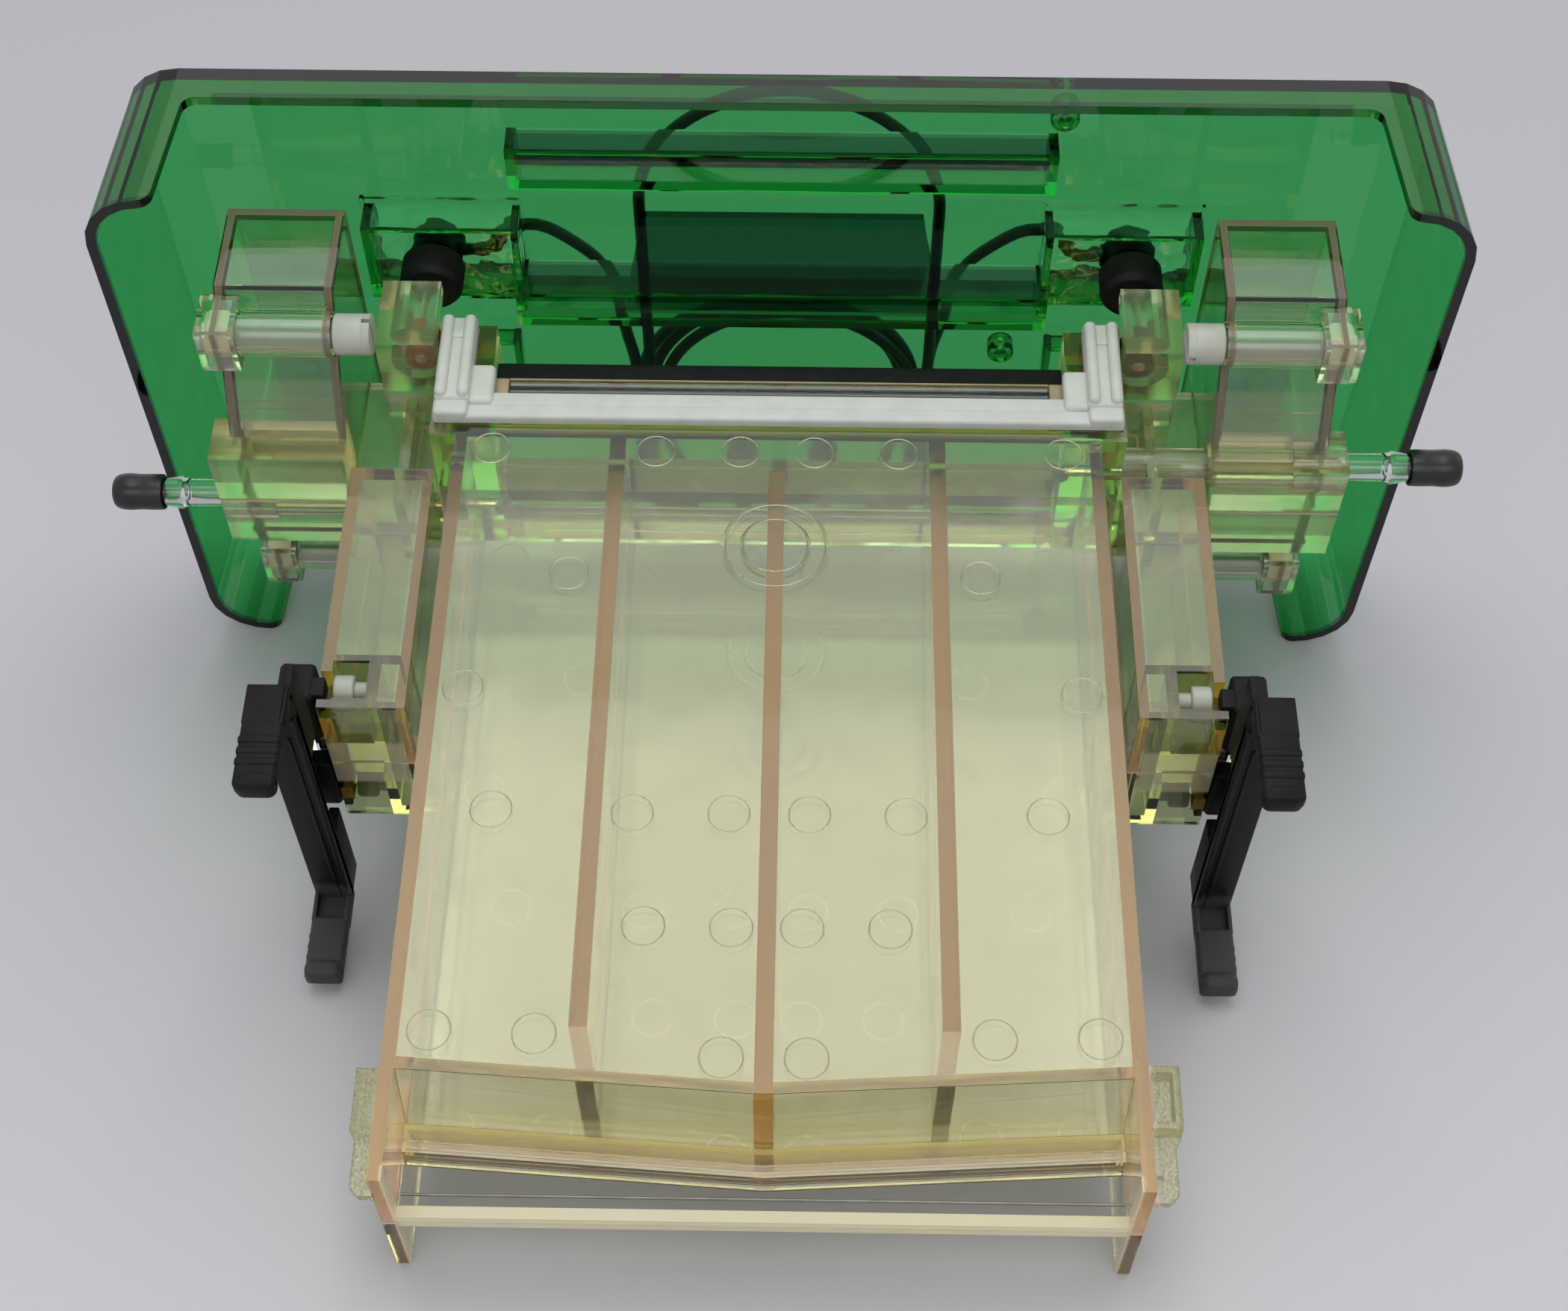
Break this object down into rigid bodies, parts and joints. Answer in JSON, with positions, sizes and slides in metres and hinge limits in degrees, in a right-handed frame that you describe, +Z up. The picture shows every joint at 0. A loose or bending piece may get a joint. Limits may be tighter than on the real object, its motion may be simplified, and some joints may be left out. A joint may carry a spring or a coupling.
{
  "type": "gel electrophoresis cooling core with safety lid",
  "caption": "Clear amber cooling core of a vertical slab-gel tank, lying on its back, with release levers, capped hose barbs and a plugged-on green safety lid whose leads are wound into a hank.",
  "frame": {"origin": "middle of the object's footprint, on the bench it lies on", "axes": "+X to the right across the core, +Y from the core's lower end to the lid, +Z up; the core leans 18.8 degrees, with its lid end raised"},
  "size_m": [0.4022, 0.3525, 0.2121],
  "materials": {
    "amber": "clear amber moulding",
    "clear": "clear moulding",
    "green": "clear green moulding",
    "silicone": "matt white silicone",
    "nylon": "white nylon",
    "cream": "cream nylon",
    "black": "satin black",
    "vinyl": "glossy black vinyl",
    "red": "red",
    "steel": "bright",
    "plated": "plated",
    "platinum": "bright wire",
    "cord": "satin black"
  },
  "bodies": {
    "core": {"catch_roller_front_left": "nylon", "catch_roller_front_right": "nylon", "catch_roller_rear_left": "nylon", "catch_roller_rear_right": "nylon", "front_clear_bar": "clear", "front_core_half": "amber", "front_gasket": "silicone", "front_seal_bar": "black", "left_hose_barb": "clear", "left_jack_collar": "red", "left_jack_pin": "plated", "left_lever_pin": "steel", "lower_electrode_wire": "platinum", "nylon_nut_front_left": "cream", "nylon_nut_front_right": "cream", "nylon_nut_rear_left": "cream", "nylon_nut_rear_right": "cream", "nylon_screw_front_left": "nylon", "nylon_screw_front_right": "nylon", "nylon_screw_rear_left": "nylon", "nylon_screw_rear_right": "nylon", "rear_clear_bar": "clear", "rear_core_half": "amber", "rear_gasket": "silicone", "rear_seal_bar": "black", "right_hose_barb": "clear", "right_jack_collar": "black", "right_jack_pin": "plated", "right_lever_pin": "steel", "upper_electrode_wire": "platinum"},
    "lid": {"lid_shell": "green", "upper_lid_clip": "clear", "lower_lid_clip": "clear", "lead_channel_cover": "green", "left_plug_collar": "black", "right_plug_collar": "black", "left_plug_boot": "black", "right_plug_boot": "black", "lead_left": "cord", "lead_right": "cord", "lead_hank": "cord", "hank_tie": "black", "lead_tail_left": "cord", "lead_tail_right": "cord", "lead_plug_left": "red", "lead_plug_right": "black"},
    "left_lever": {"left_release_lever": "black"},
    "right_lever": {"right_release_lever": "black"},
    "left_cap": {"left_barb_cap": "vinyl"},
    "right_cap": {"right_barb_cap": "vinyl"}
  },
  "joints": [
    {"name": "lid_lift", "type": "slide", "parent": "core", "child": "lid", "axis": [0, 0.9465, 0.3227], "range_m": [0, 0.06]},
    {"name": "left_lever_swing", "type": "hinge", "parent": "core", "child": "left_lever", "pos_m": [-0.1255, -0.02296, 0.073], "axis": [0, 0.3227, -0.9465], "range_deg": [0, 35]},
    {"name": "right_lever_swing", "type": "hinge", "parent": "core", "child": "right_lever", "pos_m": [0.1255, -0.02296, 0.073], "axis": [0, -0.3227, 0.9465], "range_deg": [0, 35]},
    {"name": "left_cap_pull", "type": "slide", "parent": "core", "child": "left_cap", "axis": [-1, 0, 0], "range_m": [0, 0.02]},
    {"name": "right_cap_pull", "type": "slide", "parent": "core", "child": "right_cap", "axis": [1, 0, 0], "range_m": [0, 0.02]}
  ]
}
